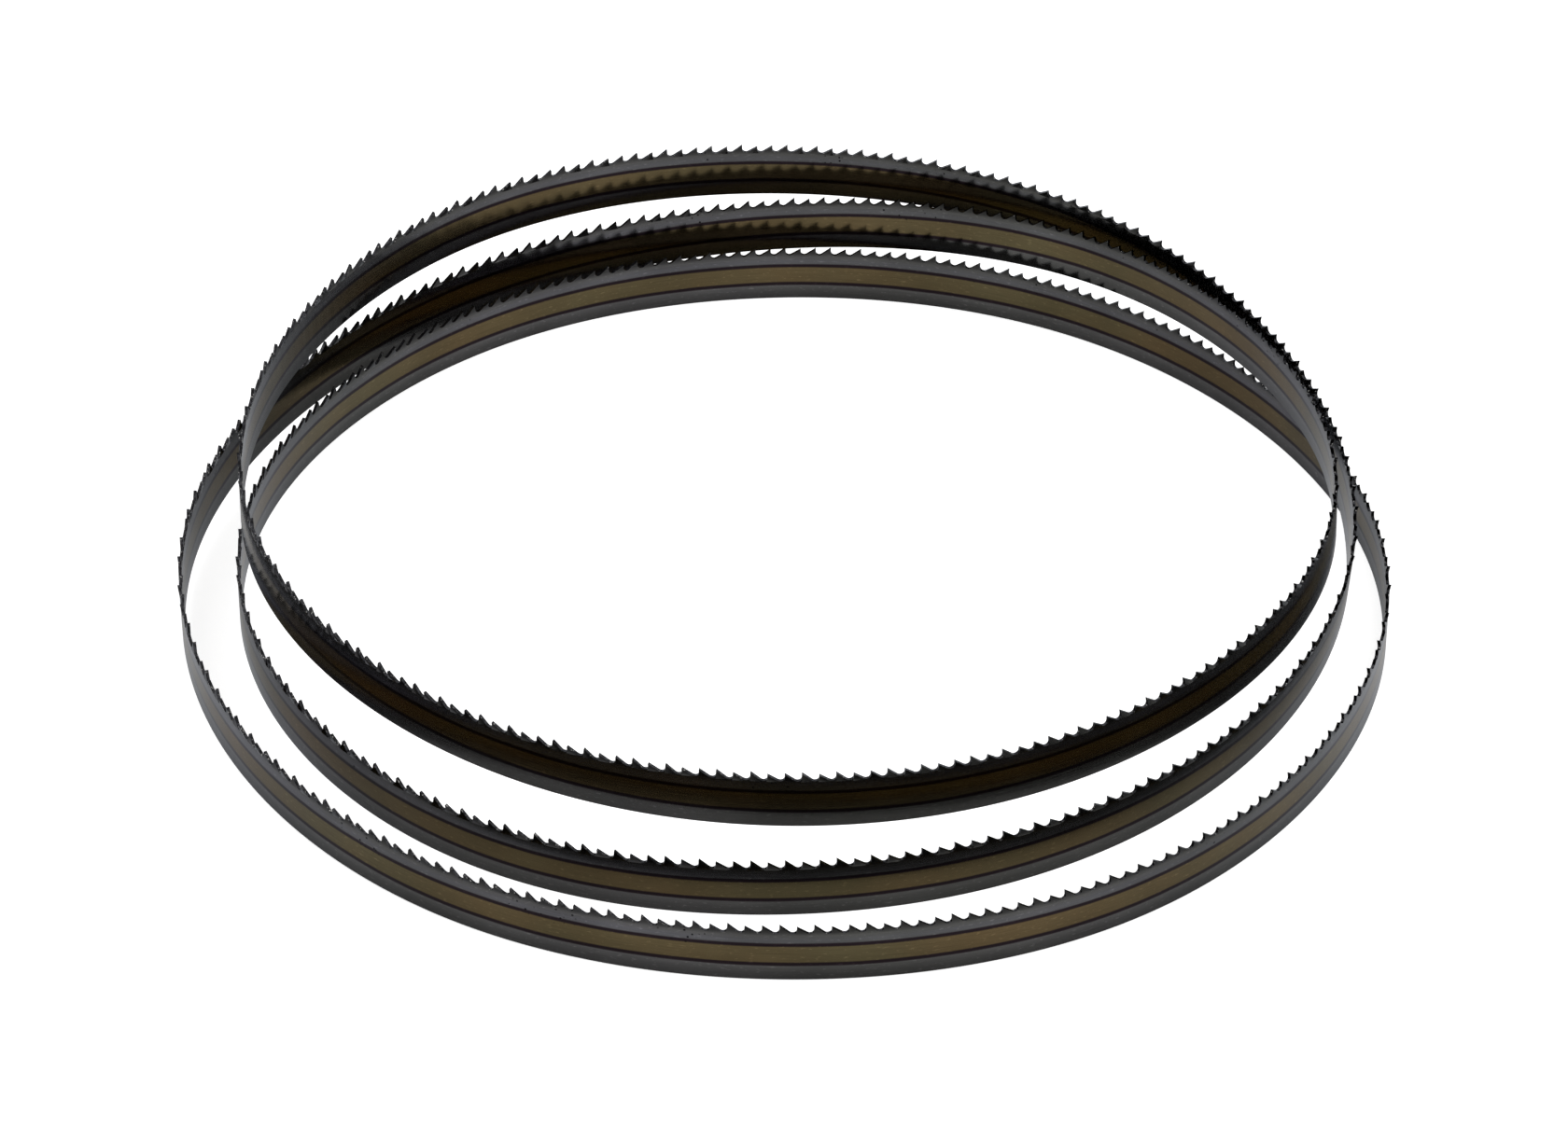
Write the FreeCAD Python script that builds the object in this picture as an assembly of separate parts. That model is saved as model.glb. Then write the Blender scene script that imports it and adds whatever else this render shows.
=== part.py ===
import FreeCAD, Part
import math
import os

# A band saw blade: one closed strip of spring steel with set teeth, lying coiled in three loops.
# Millimetres, Z up. The blade rests on its back edge at Z = 0 with its teeth pointing up,
# and the origin lies on the table under the middle of the coil.

# Strip
band_width = 12.5
band_thickness = 0.65
tooth_count = 660
set_out = 0.3
set_pattern = (0, -1, 1, -1, 1)

# Tooth outline as shares of the tooth pitch, along the band and up from the gullet floor
tooth_depth = 0.48
rake_foot = (0.20, 0.10)
tip_place = 0.25
relief_foot = (0.80, 0.08)

# Four corners that span less than this volume, in cubic mm, are in one plane
flat_limit = 1e-6

# Lie of the coil: loop radius beside loop_radius in mm, back edge height in band widths
loop_radius = 115.0
stations_per_turn = 6
stations = (
    (-1.0, 0.60), (9.0, 1.64), (12.0, 1.48), (-5.0, 1.20), (-22.0, 1.00), (-19.5, 1.08),
    (-2.5, 1.28), (5.0, 1.12), (2.0, 0.40), (6.5, 0.08), (9.5, 0.0), (10.0, 0.0),
    (7.0, 0.0), (1.0, 0.0), (-5.5, 0.08), (-5.0, 0.08), (-4.5, 0.16), (-6.5, 0.40),
)


def back_edge_path():
    """Middle line of the back edge: a closed cubic spline through three loops."""
    turn_step = 2 * math.pi / stations_per_turn
    corner_reach = 3 / (2 + math.cos(turn_step))
    corners = []
    for number, (offset, height) in enumerate(stations):
        reach = corner_reach * (loop_radius + offset)
        corners.append(FreeCAD.Vector(
            reach * math.cos(number * turn_step),
            reach * math.sin(number * turn_step),
            height * band_width))
    path = Part.BSplineCurve()
    path.buildFromPoles(corners, True, 3)
    return path


class Section:
    """Cross-section of the strip at one gullet: its four corners and its two directions."""

    def __init__(self, path, parameter, pitch):
        foot, along, bend = path.getD2(parameter)
        self.up = along.cross(bend).normalize()
        self.out = along.cross(self.up).normalize()
        half = self.out * (band_thickness / 2)
        floor = foot + self.up * (band_width - tooth_depth * pitch)
        self.back = {1: foot + half, -1: foot - half}
        self.gullet = {1: floor + half, -1: floor - half}


def gullet_sections(path):
    """One section at every gullet, a tooth pitch apart along the back edge."""
    edge = path.toShape()
    pitch = edge.Length / tooth_count
    places = [edge.getParameterByLength(number * pitch) for number in range(tooth_count)]
    return [Section(path, place, pitch) for place in places], pitch


def patch(start, end, far_start, far_end):
    """Face between two straight edges: flat where the band is level, and ruled where it twists."""
    twist = (end - start).cross(far_start - start).dot(far_end - start)
    if abs(twist) < flat_limit:
        return Part.Face(Part.makePolygon([start, end, far_end, far_start, start]))
    return Part.makeRuledSurface(Part.makeLine(start, end), Part.makeLine(far_start, far_end))


def tooth_outline(first, second, side, lean, pitch):
    """Side of one tooth from its gullet floor over the tip to the next gullet floor."""
    chord = second.gullet[side] - first.gullet[side]
    rise = (first.up + second.up).normalize() * pitch
    swing = (first.out + second.out).normalize() * (lean * set_out / tooth_depth)
    outline = [first.gullet[side]]
    for share, height in (rake_foot, (tip_place, tooth_depth), relief_foot):
        outline.append(first.gullet[side] + chord * share + (rise + swing) * height)
    outline.append(second.gullet[side])
    return outline


def tooth_faces(first, second, lean, pitch):
    """Two flat sides of a set tooth and the ground faces of its rim."""
    outer = tooth_outline(first, second, 1, lean, pitch)
    inner = tooth_outline(first, second, -1, lean, pitch)
    faces = [Part.Face(Part.makePolygon(side + side[:1])) for side in (outer, inner)]
    for place in range(len(outer) - 1):
        faces.append(patch(outer[place], outer[place + 1], inner[place], inner[place + 1]))
    return faces


def strip_faces(first, second):
    """Outer side, inner side and back edge of the strip below one tooth."""
    faces = [patch(first.back[side], second.back[side], first.gullet[side], second.gullet[side])
             for side in (1, -1)]
    faces.append(patch(first.back[1], second.back[1], first.back[-1], second.back[-1]))
    return faces


def saw_band():
    """The whole blade as one closed solid."""
    sections, pitch = gullet_sections(back_edge_path())
    faces = []
    for number, first in enumerate(sections):
        second = sections[(number + 1) % tooth_count]
        lean = set_pattern[number % len(set_pattern)]
        faces += strip_faces(first, second)
        faces += tooth_faces(first, second, lean, pitch)
    shell = Part.makeShell(faces)
    shell.sewShape()
    blade = Part.makeSolid(shell)
    middle = blade.BoundBox.Center
    blade.translate(FreeCAD.Vector(-middle.x, -middle.y, 0))
    return blade


os.makedirs("parts", exist_ok=True)
saw_band().exportStep("parts/saw_band.step")
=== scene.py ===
from bisect import bisect
import math

import bmesh
import bpy
from mathutils import Matrix, Vector


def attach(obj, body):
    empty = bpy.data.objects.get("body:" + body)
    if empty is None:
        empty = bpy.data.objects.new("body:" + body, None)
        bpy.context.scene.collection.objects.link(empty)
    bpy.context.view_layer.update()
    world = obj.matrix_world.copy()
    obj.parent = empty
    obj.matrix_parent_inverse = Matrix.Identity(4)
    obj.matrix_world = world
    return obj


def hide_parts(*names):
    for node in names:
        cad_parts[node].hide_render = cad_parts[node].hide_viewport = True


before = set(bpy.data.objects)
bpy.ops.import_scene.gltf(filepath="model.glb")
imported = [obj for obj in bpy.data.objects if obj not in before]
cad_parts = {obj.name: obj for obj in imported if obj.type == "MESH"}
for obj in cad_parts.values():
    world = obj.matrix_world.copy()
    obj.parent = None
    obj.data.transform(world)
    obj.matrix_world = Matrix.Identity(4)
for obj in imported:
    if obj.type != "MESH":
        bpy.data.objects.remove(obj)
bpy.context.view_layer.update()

# How the saw blade lies. It is one endless strip of spring steel, 12.5 mm wide and 2.16 m long, that springs
# into three loops when it is coiled. Eighteen stations, six a turn, lead its back edge along a smooth closed
# curve: each gives a radius, as a difference from loop_radius in metres, and a height in band widths.
band_width = 0.0125
loop_radius = 0.115
stations_per_turn = 6
stations = (
    (-0.001, 0.60), (0.009, 1.64), (0.012, 1.48), (-0.005, 1.20), (-0.022, 1.00), (-0.0195, 1.08),
    (-0.0025, 1.28), (0.005, 1.12), (0.002, 0.40), (0.0065, 0.08), (0.0095, 0.0), (0.010, 0.0),
    (0.007, 0.0), (0.001, 0.0), (-0.0055, 0.08), (-0.005, 0.08), (-0.0045, 0.16), (-0.0065, 0.40),
)
# Middle of the whole coil, measured from the centre of those radii. It comes to lie at the origin.
coil_middle = Vector((0.0000561, 0.0002238, 0))


def curve_corners():
    """Corners of the closed cubic curve, further out than the stations because it cuts inside them."""
    turn_step = 2 * math.pi / stations_per_turn
    corner_reach = 3 / (2 + math.cos(turn_step))
    corners = []
    for number, (offset, height) in enumerate(stations):
        reach = corner_reach * (loop_radius + offset)
        corner = Vector((math.cos(number * turn_step), math.sin(number * turn_step), 0)) * reach
        corner.z = height * band_width
        corners.append(corner - coil_middle)
    return corners


path_corners = curve_corners()


def along_curve(place):
    """Point on the back edge, its direction and its bend, at a place counted in stations."""
    number = math.floor(place)
    t = place - number
    near = [path_corners[(number - 1 + step) % len(path_corners)] for step in range(4)]
    point_weights = ((1 - t) ** 3 / 6, (3 * t ** 3 - 6 * t ** 2 + 4) / 6,
                     (-3 * t ** 3 + 3 * t ** 2 + 3 * t + 1) / 6, t ** 3 / 6)
    slope_weights = (-(1 - t) ** 2 / 2, (3 * t ** 2 - 4 * t) / 2, (-3 * t ** 2 + 2 * t + 1) / 2, t ** 2 / 2)
    bend_weights = (1 - t, 3 * t - 2, 1 - 3 * t, t)
    return [sum((corner * weight for corner, weight in zip(near, weights)), Vector())
            for weights in (point_weights, slope_weights, bend_weights)]


# The strip is measured along its back edge from the station where tooth number 0 begins. A running tally of
# the length finds the place that lies a given length along it.
first_place = 1
tally_steps = 4000
tally_places = [first_place + len(stations) * step / tally_steps for step in range(tally_steps + 1)]
tally = [0.0]
for earlier, later in zip(tally_places, tally_places[1:]):
    middle_slope = along_curve((earlier + later) / 2)[1]
    tally.append(tally[-1] + middle_slope.length * (later - earlier))
band_length = tally[-1]


def place_at(length):
    """Place on the curve, in stations, that lies this length along the strip."""
    step = min(bisect(tally, length), tally_steps) - 1
    share = (length - tally[step]) / (tally[step + 1] - tally[step])
    return tally_places[step] + share * (tally_places[step + 1] - tally_places[step])


# The teeth: 660 of them are milled into one edge of the strip, 8 to the inch, and then set, which bends each
# one in or out from a line just under its gullet, in a pattern of five with one left straight. Each tooth has
# a steep rake face, a straight relief and a round gullet. Places, depth and radius are shares of the pitch.
tooth_count = 660
set_out = 0.00029
set_pattern = (0, -1, 1, -1, 1)
tip_place = 0.25
tooth_depth = 0.48
gullet_middle = 0.75
gullet_radius = 0.25
gullet_start = math.radians(-36)
gullet_end = math.radians(75)
gullet_steps = 5
bend_line_below_gullet = 0.0002
pitch = band_length / tooth_count


def tooth_points():
    """Distance past the tip and depth below it, both in pitches, at each point from one tip to the next."""
    points = [(0.0, 0.0)]
    for step in range(gullet_steps + 1):
        angle = gullet_start + (gullet_end - gullet_start) * step / gullet_steps
        depth = tooth_depth - gullet_radius + gullet_radius * math.cos(angle)
        points.append((gullet_middle + gullet_radius * math.sin(angle), depth))
    return points


# The strip itself is cold rolled, hardened and tempered, 0.65 mm thick, with its back edge dressed by a small
# chamfer. It is made as a long grid that is closed round the strip and along it: each column of the grid is
# one cross-section, and its rows go up the outer side, over the tooth's rim and down the inner side.
band_thickness = 0.00065
back_chamfer = 0.00012


def section_rows(top, lean):
    """Height and sideways offset of each point of a cross-section, from its rim's height and lean."""
    half = band_thickness / 2
    bend_line = band_width - tooth_depth * pitch - bend_line_below_gullet
    return ((0, half - back_chamfer), (back_chamfer, half), (bend_line, half), (top, lean + half),
            (top, lean - half), (bend_line, -half), (back_chamfer, -half), (0, back_chamfer - half),
            (0, half - back_chamfer))


# Rows of the grid along the two bend lines, on both sides of the rim and on both sides of the dressed back.
bend_rows = (2, 5)
rim_rows = (3, 4)
back_rows = (7, 8)
tooth_line = tooth_points()
columns = tooth_count * len(tooth_line)
row_count = len(section_rows(band_width, 0))

shape = bmesh.new()
bmesh.ops.create_grid(shape, x_segments=columns, y_segments=row_count - 1, size=1)
shape.verts.ensure_lookup_table()
row_of = {}
point_of = {}
unrolled = {}
for column in range(columns + 1):
    tooth, point = divmod(column, len(tooth_line))
    past_tip, depth = tooth_line[point]
    # Past the middle of the gullet the rim belongs to the next tooth.
    if past_tip > gullet_middle:
        leaning_tooth = tooth + 1
    else:
        leaning_tooth = tooth
    set_share = 1 - depth / tooth_depth
    lean = set_pattern[leaning_tooth % len(set_pattern)] * set_out * set_share
    length = (tooth + tip_place + past_tip) * pitch
    back, slope, bend = along_curve(place_at(length % band_length))
    up = slope.cross(bend).normalized()
    out = slope.cross(up).normalized()
    for row, (height, offset) in enumerate(section_rows(band_width - depth * pitch, lean)):
        vertex = shape.verts[row * (columns + 1) + column]
        vertex.co = back + up * height + out * offset
        row_of[vertex.index] = row
        point_of[vertex.index] = point
        unrolled[vertex.index] = (length / band_width, height / band_width)

# The strip is unrolled flat for its colours, in band widths along it and across it. The rims of the teeth are
# laid out above the toothed edge, their rake faces above those, and the dressed back below the back edge, so
# that each can have its own tone. The borders between them are the two heights where a tone starts and ends.
rim_strip = 1.04
rake_strip = 1.09
back_strip = -0.06
rim_border = (1.005, 1.02)
rake_border = (1.06, 1.07)
back_border = (-0.03, -0.005)
# A rake face lies between the last two points of a gullet and the next tip, which is point 0.
rake_points = (0, gullet_steps, gullet_steps + 1)
band_map = shape.loops.layers.uv.new("band")
for face in shape.faces:
    face.smooth = True
    face_rows = {row_of[vertex.index] for vertex in face.verts}
    face_points = {point_of[vertex.index] for vertex in face.verts}
    for corner in face.loops:
        along, height = unrolled[corner.vert.index]
        if face_rows.issubset(back_rows):
            height = back_strip
        elif face_rows.issubset(rim_rows) and face_points.issubset(rake_points):
            height = rake_strip
        elif face_rows.issubset(rim_rows):
            height = rim_strip
        corner[band_map].uv = (along, height)

# The bend line of the set teeth is a crease. The borders of the grid that meet are merged, which closes the
# strip, and then every corner that is sharper than crease_angle becomes a crease too.
crease_angle = math.radians(30)
merge_reach = 0.000001
for edge in shape.edges:
    edge_rows = {row_of[vertex.index] for vertex in edge.verts}
    if len(edge_rows) == 1 and edge_rows.issubset(bend_rows):
        edge.smooth = False
bmesh.ops.remove_doubles(shape, verts=shape.verts, dist=merge_reach)
bmesh.ops.recalc_face_normals(shape, faces=shape.faces)
for edge in shape.edges:
    if edge.calc_face_angle(0) > crease_angle:
        edge.smooth = False

blade_mesh = bpy.data.meshes.new("saw_blade")
shape.to_mesh(blade_mesh)
shape.free()
blade = bpy.data.objects.new("saw_blade", blade_mesh)
bpy.context.scene.collection.objects.link(blade)


# The steel is left with the dark skin of its heat treatment: gunmetal grey margins, and between two thin
# violet lines a bronze stripe, where the tempering heat was kept. The skin is smooth, so it mirrors what is
# round it, and the flatter it is looked along, the more it mirrors and the bluer the mirror image is.
def tone(red, green, blue):
    """Colour given in steps of 0 to 255 as it looks on a screen."""
    return [((step / 255 + 0.055) / 1.055) ** 2.4 for step in (red, green, blue)] + [1]


def grey(level):
    """Grey of this strength, where 1 leaves a colour as it is when the two are multiplied."""
    return (level, level, level, 1)


gunmetal = tone(99, 98, 99)
dull_gunmetal = tone(90, 90, 88)
bronze = tone(107, 91, 65)
olive = tone(101, 92, 67)
violet_line = tone(42, 34, 38)
rim_steel = tone(38, 38, 40)
# Painted shade: the nearly black colour of the rake faces stands in for a dark reflection.
painted_dark_rake = tone(14, 14, 15)
dressed_back = tone(40, 40, 42)
bare_steel = tone(165, 164, 161)
grime = tone(22, 21, 22)
faint_blue = (1.1, 1.11, 1.22, 1)
flat_look_tint = (0.93, 0.955, 1, 1)
white = grey(1)
black = grey(0)

steel = bpy.data.materials.new("tempered_steel")
steel.use_nodes = True
nodes = steel.node_tree.nodes
links = steel.node_tree.links
skin = nodes["Principled BSDF"]
skin.inputs["Metallic"].default_value = 1
skin.inputs["Specular Tint"].default_value = flat_look_tint

flat_map = nodes.new("ShaderNodeUVMap")
flat_map.uv_map = "band"
flat_parts = nodes.new("ShaderNodeSeparateXYZ")
links.new(flat_map.outputs["UV"], flat_parts.inputs["Vector"])
solid_place = nodes.new("ShaderNodeTexCoord")


def cloud(patches_per_metre, detail):
    """Soft patches fixed in the steel, from the object's own coordinates."""
    patches = nodes.new("ShaderNodeTexNoise")
    patches.inputs["Scale"].default_value = patches_per_metre
    patches.inputs["Detail"].default_value = detail
    links.new(solid_place.outputs["Object"], patches.inputs["Vector"])
    return patches.outputs["Fac"]


def streaks(along, across, detail):
    """Soft streaks on the unrolled strip, so many to a band width along it and across it."""
    stretch = nodes.new("ShaderNodeMapping")
    stretch.inputs["Scale"].default_value = (along, across, 1)
    links.new(flat_map.outputs["UV"], stretch.inputs["Vector"])
    patches = nodes.new("ShaderNodeTexNoise")
    patches.inputs["Scale"].default_value = 1
    patches.inputs["Detail"].default_value = detail
    links.new(stretch.outputs["Vector"], patches.inputs["Vector"])
    return patches.outputs["Fac"]


def steps(value, *stops):
    """Grey or colour that changes with a value: each stop is a value from 0 to 1 and a colour."""
    ramp = nodes.new("ShaderNodeValToRGB")
    ramp.color_ramp.elements[0].position = stops[0][0]
    ramp.color_ramp.elements[0].color = stops[0][1]
    ramp.color_ramp.elements[1].position = stops[-1][0]
    ramp.color_ramp.elements[1].color = stops[-1][1]
    for position, colour in stops[1:-1]:
        ramp.color_ramp.elements.new(position).color = colour
    links.new(value, ramp.inputs["Fac"])
    return ramp.outputs["Color"]


def fade(value, start, end, before=black, after=white):
    """Grey or colour that changes from one to another while a value goes from start to end."""
    return steps(value, (start, before), (end, after))


def plug_in(source, socket):
    """Give a socket its value, which may be a fixed one or a node's output."""
    if isinstance(source, bpy.types.NodeSocket):
        links.new(source, socket)
    else:
        socket.default_value = source


def blend_colours(share, first, second, kind="MIX"):
    """Second colour over the first one by a share; each may be fixed or a node's output."""
    blend = nodes.new("ShaderNodeMix")
    blend.data_type = "RGBA"
    blend.blend_type = kind
    sockets = {entry.identifier: entry for entry in blend.inputs}
    plug_in(share, sockets["Factor_Float"])
    plug_in(first, sockets["A_Color"])
    plug_in(second, sockets["B_Color"])
    return next(entry for entry in blend.outputs if entry.identifier == "Result_Color")


def multiply(first, second):
    """One colour or shade times another."""
    return blend_colours(1.0, first, second, "MULTIPLY")


def reckon(operation, first, second):
    """One sum on two values; either may be a number or a node's output."""
    sum_node = nodes.new("ShaderNodeMath")
    sum_node.operation = operation
    plug_in(first, sum_node.inputs[0])
    plug_in(second, sum_node.inputs[1])
    return sum_node.outputs["Value"]


# The colour ramps that follow the height on the band run from below the back edge to above the rake faces.
ramp_low = -0.1
ramp_span = 1.2


def ramp_place(height):
    """Place on such a ramp of a height that the nodes give."""
    return reckon("DIVIDE", reckon("SUBTRACT", height, ramp_low), ramp_span)


def over_width(place, *stops):
    """Grey or colour that changes across the band: each stop is a share of its width and a colour."""
    return steps(place, *[((share - ramp_low) / ramp_span, colour) for share, colour in stops])


# The stripe's borders wander a little, because the heat did.
stripe_low = 0.298
stripe_high = 0.662
stripe_blur = 0.001
line_width = 0.044
line_blur = 0.022
wander_width = 0.02
cloud_middle = 0.5
wander = reckon("SUBTRACT", cloud(patches_per_metre=60, detail=2), cloud_middle)
wandering_height = reckon("ADD", flat_parts.outputs["Y"], reckon("MULTIPLY", wander, wander_width))
wandering_place = ramp_place(wandering_height)
even_place = ramp_place(flat_parts.outputs["Y"])

margin_patches = cloud(patches_per_metre=7, detail=2)
stripe_patches = cloud(patches_per_metre=30, detail=3)
margins = blend_colours(fade(margin_patches, start=0.4, end=0.62), gunmetal, dull_gunmetal)
stripe = blend_colours(fade(stripe_patches, start=0.34, end=0.66), bronze, olive)
in_stripe = over_width(wandering_place, (stripe_low - stripe_blur, black), (stripe_low + stripe_blur, white),
                       (stripe_high - stripe_blur, white), (stripe_high + stripe_blur, black))
line_stops = []
for middle in (stripe_low, stripe_high):
    line_start = middle - line_width / 2
    line_end = middle + line_width / 2
    line_stops += [(line_start - line_blur, black), (line_start, white),
                   (line_end, white), (line_end + line_blur, black)]
on_line = over_width(wandering_place, *line_stops)
skin_colour = blend_colours(in_stripe, margins, stripe)
skin_colour = blend_colours(on_line, skin_colour, violet_line)

# Painted shade across the band: the skin is darker towards the back edge and lighter just under the stripe, a
# painted reflection of the table that lies in shade next to the blade. It is faintly blue above the stripe
# and darkest on the teeth.
painted_shade_across_band = over_width(
    even_place, (0, grey(0.66)), (0.14, grey(0.86)), (0.26, grey(1.2)), (0.34, white), (0.64, white),
    (0.75, faint_blue), (0.84, white), (0.88, grey(0.64)), (0.91, grey(0.43)), (0.96, grey(0.29)),
    (1, grey(0.22)))
heat_patches = cloud(patches_per_metre=45, detail=3)
heat_shade = fade(heat_patches, start=0.36, end=0.64, before=grey(0.9), after=grey(1.1))
skin_colour = multiply(multiply(skin_colour, painted_shade_across_band), heat_shade)

# The rims are rough from the milling, and the back is dressed smooth. The rake faces are nearly black:
# painted shade, standing in for the dark that they mirror.
on_rim = over_width(even_place, (rim_border[0], black), (rim_border[1], white))
on_rake = over_width(even_place, (rake_border[0], black), (rake_border[1], white))
on_back = over_width(even_place, (back_border[0], white), (back_border[1], black))
rim_patches = cloud(patches_per_metre=1700, detail=2)
rim_grain = fade(rim_patches, start=0.42, end=0.62, before=grey(0.7), after=grey(2.6))
skin_colour = blend_colours(on_rim, skin_colour, multiply(rim_grain, rim_steel))
skin_colour = blend_colours(on_rake, skin_colour, painted_dark_rake)
skin_colour = blend_colours(on_back, skin_colour, dressed_back)

# Rolling leaves fine lines along the strip, and handling leaves short pale scuffs.
fine_lines = streaks(along=1.2, across=90, detail=4)
line_shade = fade(fine_lines, start=0.3, end=0.7, before=grey(0.86), after=grey(1.12))
scuffs = streaks(along=9, across=26, detail=3)
scuff_shade = fade(scuffs, start=0.6, end=0.72, before=white, after=grey(1.6))
skin_colour = multiply(multiply(skin_colour, line_shade), scuff_shade)

# The milling leaves small bright burrs at the tips and on the rims.
burr_spots = fade(cloud(patches_per_metre=2400, detail=1), start=0.66, end=0.72)
near_tips = over_width(even_place, (0.96, black), (1, white))
skin_colour = blend_colours(multiply(near_tips, burr_spots), skin_colour, bare_steel)

# Grime sits here and there in dark specks under the teeth.
specks = nodes.new("ShaderNodeTexVoronoi")
specks_per_metre = 800
specks.inputs["Scale"].default_value = specks_per_metre
links.new(solid_place.outputs["Object"], specks.inputs["Vector"])
grime_spots = fade(specks.outputs["Distance"], start=0.16, end=0.22, before=white, after=black)
grimy_places = fade(cloud(patches_per_metre=70, detail=1), start=0.58, end=0.64)
under_teeth = over_width(even_place, (0.55, black), (0.7, white), (1, white), (1.01, black))
on_grime = multiply(multiply(under_teeth, grime_spots), grimy_places)
skin_colour = blend_colours(on_grime, skin_colour, grime)
links.new(skin_colour, skin.inputs["Base Color"])

# The fine lines are felt as well as seen, and the steel is a little duller in them.
line_relief_strength = 0.08
line_relief_depth = 0.00002
roughness = fade(fine_lines, start=0.3, end=0.7, before=grey(0.13), after=grey(0.19))
links.new(roughness, skin.inputs["Roughness"])
line_relief = nodes.new("ShaderNodeBump")
line_relief.inputs["Strength"].default_value = line_relief_strength
line_relief.inputs["Distance"].default_value = line_relief_depth
links.new(fine_lines, line_relief.inputs["Height"])
links.new(line_relief.outputs["Normal"], skin.inputs["Normal"])

blade_mesh.materials.append(steel)
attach(blade, "root")
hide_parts("saw_band")

# The table top is a plain white board, far larger than the blade. The camera sees it a little lighter than
# the lamps alone leave it, so it shows white and still keeps the blade's soft shadow.
board_half = 3.0
board_grey = grey(0.8)
board_roughness = 0.9
board_lift = 0.7
board_shape = bmesh.new()
bmesh.ops.create_grid(board_shape, x_segments=1, y_segments=1, size=board_half)
board_mesh = bpy.data.meshes.new("table_top")
board_shape.to_mesh(board_mesh)
board_shape.free()
board = bpy.data.objects.new("table_top", board_mesh)
bpy.context.scene.collection.objects.link(board)

board_paint = bpy.data.materials.new("white_board")
board_paint.use_nodes = True
tree = board_paint.node_tree
paint = tree.nodes["Principled BSDF"]
paint.inputs["Base Color"].default_value = board_grey
paint.inputs["Roughness"].default_value = board_roughness
paint.inputs["Emission Color"].default_value = white
lift = tree.nodes.new("ShaderNodeMath")
lift.operation = "MULTIPLY"
lift.inputs[1].default_value = board_lift
tree.links.new(tree.nodes.new("ShaderNodeLightPath").outputs["Is Camera Ray"], lift.inputs[0])
tree.links.new(lift.outputs["Value"], paint.inputs["Emission Strength"])
board_mesh.materials.append(board_paint)


# The room is an even white tent: white at full strength where it is seen or mirrored, and softer as a light.
# Two large soft lamps, high behind the blade at the left and at the right, give the rest of the light.
def seen_directly(tree):
    """1 for rays from the camera, from a mirror or through glass, and 0 for light that falls on things."""
    path = tree.nodes.new("ShaderNodeLightPath")
    either = path.outputs["Is Camera Ray"]
    for other in ("Is Glossy Ray", "Is Transmission Ray"):
        larger = tree.nodes.new("ShaderNodeMath")
        larger.operation = "MAXIMUM"
        tree.links.new(either, larger.inputs[0])
        tree.links.new(path.outputs[other], larger.inputs[1])
        either = larger.outputs["Value"]
    return either


tent_light = 0.72
tent_seen = 1
tent = bpy.data.worlds.new("white_tent")
tent.use_nodes = True
bpy.context.scene.world = tent
backdrop = tent.node_tree.nodes["Background"]
backdrop.inputs["Color"].default_value = white
tent_level = tent.node_tree.nodes.new("ShaderNodeMapRange")
tent_level.inputs["To Min"].default_value = tent_light
tent_level.inputs["To Max"].default_value = tent_seen
tent.node_tree.links.new(seen_directly(tent.node_tree), tent_level.inputs["Value"])
tent.node_tree.links.new(tent_level.outputs["Result"], backdrop.inputs["Strength"])


def soft_lamp(name, place, width, power):
    """Square lamp that faces the blade. The steel doesn't mirror it."""
    lamp = bpy.data.lights.new(name, "AREA")
    lamp.size = width
    lamp.energy = power
    holder = bpy.data.objects.new(name, lamp)
    lamp_turn = (-Vector(place)).to_track_quat("-Z", "Y").to_matrix().to_4x4()
    holder.matrix_world = Matrix.Translation(place) @ lamp_turn
    holder.visible_glossy = False
    bpy.context.scene.collection.objects.link(holder)


soft_lamp("lamp_left", place=(-1.1, 0.7, 1.7), width=1.6, power=6.5)
soft_lamp("lamp_right", place=(1.3, 0.9, 1.6), width=1.6, power=13)

# The camera looks down on the coil from the front with a long lens, turned a little about its own line of
# sight. Its reach is the distance from the lens to a picture of frame_width pixels, in those pixels.
frame_width = 1680
camera_reach = 6975.6
camera_distance = 1.3199
camera_elevation = math.radians(34.999)
camera_roll = math.radians(0.529)
look_at_height = 0.008291
sensor_width = 36
camera = bpy.data.objects.new("camera", bpy.data.cameras.new("camera"))
camera.data.sensor_width = sensor_width
camera.data.lens = camera_reach / frame_width * sensor_width
camera_turn = Matrix.Rotation(math.pi / 2 - camera_elevation, 4, "X") @ Matrix.Rotation(camera_roll, 4, "Z")
look_at = Vector((0, 0, look_at_height)) - coil_middle
camera_place = look_at + camera_turn.to_3x3() @ Vector((0, 0, camera_distance))
camera.matrix_world = Matrix.Translation(camera_place) @ camera_turn
bpy.context.scene.collection.objects.link(camera)
bpy.context.scene.camera = camera
bpy.context.scene.view_settings.view_transform = "Standard"
